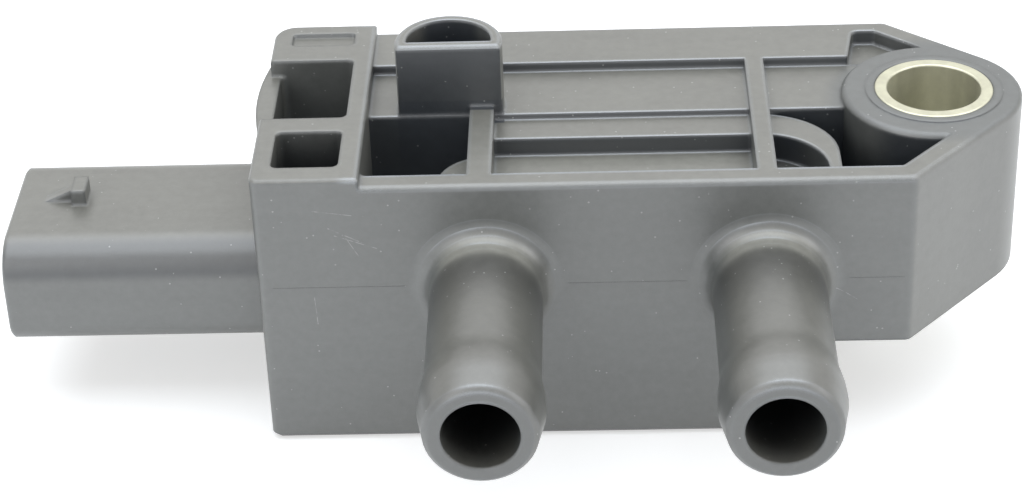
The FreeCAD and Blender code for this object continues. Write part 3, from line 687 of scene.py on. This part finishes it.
# Each lamp's name, its place from the part's middle, its size, its watts and its colour
LAMPS = (
    ("overhead", (0.0, 0.04, 0.45), (0.80, 0.55), 2.75, COOL),
    ("behind", (0.0, 0.35, 0.34), (0.50, 0.20), 0.12, WHITE),
    ("front_left", (-0.35, -0.4, 0.30), (0.35, 0.35), 0.6, WHITE),
    ("right", (0.5, -0.15, 0.25), (0.3, 0.3), 0.6, WHITE),
)
FLOOR_REACH = 1.5


def lamp(name, place, target, size, power, shade):
    """A soft rectangular lamp that looks at the target."""
    data = bpy.data.lights.new(name, "AREA")
    data.shape = "RECTANGLE"
    data.size, data.size_y = size
    data.energy = power
    data.color = shade[:3]
    made = bpy.data.objects.new(name, data)
    bpy.context.scene.collection.objects.link(made)
    made.location = place
    made.rotation_euler = (target - place).to_track_quat("-Z", "Y").to_euler()


def seen_or_mirrored(mix):
    """One where this is seen straight, in a reflection or through glass."""
    seen, glossy, through = mix.node("ShaderNodeLightPath", output=(
        "Is Camera Ray", "Is Glossy Ray", "Is Transmission Ray"))
    return seen | glossy | through


def floor_material(stage):
    """White paper that keeps the part's shadow and fades into the background."""
    mix = recipe("floor_paper")
    base = mix.toned(colour(stage.floor_colour), 0.97 + 0.03 * mix.noise(60.0, 2.0))
    glow_strength = 0.5
    paper = mix.node("ShaderNodeBsdfDiffuse", None, {"Color": base})
    glow = mix.node("ShaderNodeEmission", None, {"Color": WHITE, "Strength": glow_strength})
    bare = mix.node("ShaderNodeEmission", None, {"Color": WHITE, "Strength": 0.0})
    shown = mix.node("ShaderNodeMixShader", None, {0: seen_or_mirrored(mix), 1: bare, 2: glow})
    both = mix.node("ShaderNodeAddShader", None, {0: paper, 1: shown})
    mix.node("ShaderNodeOutputMaterial", None, {"Surface": both})
    return mix.owner


def studio_world(stage):
    """A white background that lights the part less than it shows."""
    mix = Recipe(bpy.data.worlds.new("white_studio"))
    light = mix.node("ShaderNodeBackground", None,
                     {"Color": WHITE, "Strength": stage.world_strength})
    white = mix.node("ShaderNodeBackground", None, {"Color": WHITE, "Strength": 1.0})
    chosen = mix.node("ShaderNodeMixShader", None, {0: seen_or_mirrored(mix), 1: light, 2: white})
    mix.node("ShaderNodeOutputWorld", None, {"Surface": chosen})
    return mix.owner


def studio_camera(stage):
    """The camera that the photograph's own view was fitted to."""
    azimuth, elevation, roll = stage.camera_azimuth, stage.camera_elevation, stage.camera_roll
    forward = Vector((math.sin(azimuth) * math.cos(elevation),
                      math.cos(azimuth) * math.cos(elevation), -math.sin(elevation)))
    right = Vector((math.cos(azimuth), -math.sin(azimuth), 0.0))
    up = right.cross(forward)
    rolled_right = math.cos(roll) * right + math.sin(roll) * up
    rolled_up = -math.sin(roll) * right + math.cos(roll) * up
    data = bpy.data.cameras.new("photo_camera")
    data.sensor_width = 36.0
    data.lens = stage.camera_lens
    data.shift_x, data.shift_y = stage.camera_shift
    data.clip_start = 0.01
    data.clip_end = 10.0
    made = bpy.data.objects.new("photo_camera", data)
    bpy.context.scene.collection.objects.link(made)
    turn = Matrix((rolled_right, rolled_up, -forward)).transposed()
    made.matrix_world = Matrix.Translation(stage.camera_place) @ turn.to_4x4()
    return made


class SENSOR_OT_stage(Operator):
    """Set up the floor, the soft lamps, the world and the camera"""

    bl_idname = "sensor.stage"
    bl_label = "Stage"

    def execute(self, context):
        scene = context.scene
        stage = scene.sensor_stage
        low, high = CAD_BOX
        mesh = bpy.data.meshes.new("floor")
        corners = [(side_x * FLOOR_REACH, side_y * FLOOR_REACH, low.z)
                   for side_x, side_y in ((-1, -1), (1, -1), (1, 1), (-1, 1))]
        mesh.from_pydata(corners, [], [(0, 1, 2, 3)])
        mesh.materials.append(floor_material(stage))
        floor = bpy.data.objects.new("floor", mesh)
        scene.collection.objects.link(floor)
        middle = (low + high) / 2
        for name, offset, size, power, shade in LAMPS:
            lamp(name, middle + Vector(offset), middle, size, power, shade)
        scene.world = studio_world(stage)
        scene.camera = studio_camera(stage)
        scene.view_settings.view_transform = "Standard"
        return {"FINISHED"}


class SENSOR_PT_panel(Panel):
    """The sensor's finishes and stage"""

    bl_idname = "SENSOR_PT_panel"
    bl_label = "Pressure sensor"
    bl_space_type = "VIEW_3D"
    bl_region_type = "UI"
    bl_category = "Sensor"

    def draw(self, context):
        for name in SETTINGS:
            settings = getattr(context.scene, name)
            column = self.layout.column(align=True)
            for key in settings.__annotations__:
                column.prop(settings, key)
        for operator in OPERATORS:
            self.layout.operator(operator.bl_idname)


SETTINGS = {"sensor_housing": SensorHousingFinish, "sensor_metal": SensorMetalFinish,
            "sensor_board": SensorBoardFinish, "sensor_stage": SensorStageSettings}
OPERATORS = (SENSOR_OT_stage, SENSOR_OT_housing, SENSOR_OT_sleeve, SENSOR_OT_cover,
             SENSOR_OT_terminals, SENSOR_OT_electronics)
CLASSES = (*SETTINGS.values(), *OPERATORS, SENSOR_PT_panel)


def register():
    for made in CLASSES:
        bpy.utils.register_class(made)
    for name, group in SETTINGS.items():
        setattr(bpy.types.Scene, name, PointerProperty(type=group))


def unregister():
    for name in SETTINGS:
        delattr(bpy.types.Scene, name)
    for made in reversed(CLASSES):
        bpy.utils.unregister_class(made)


def main():
    register()
    for operator in OPERATORS:
        group, name = operator.bl_idname.split(".")
        getattr(getattr(bpy.ops, group), name)()


if __name__ == "__main__":
    main()
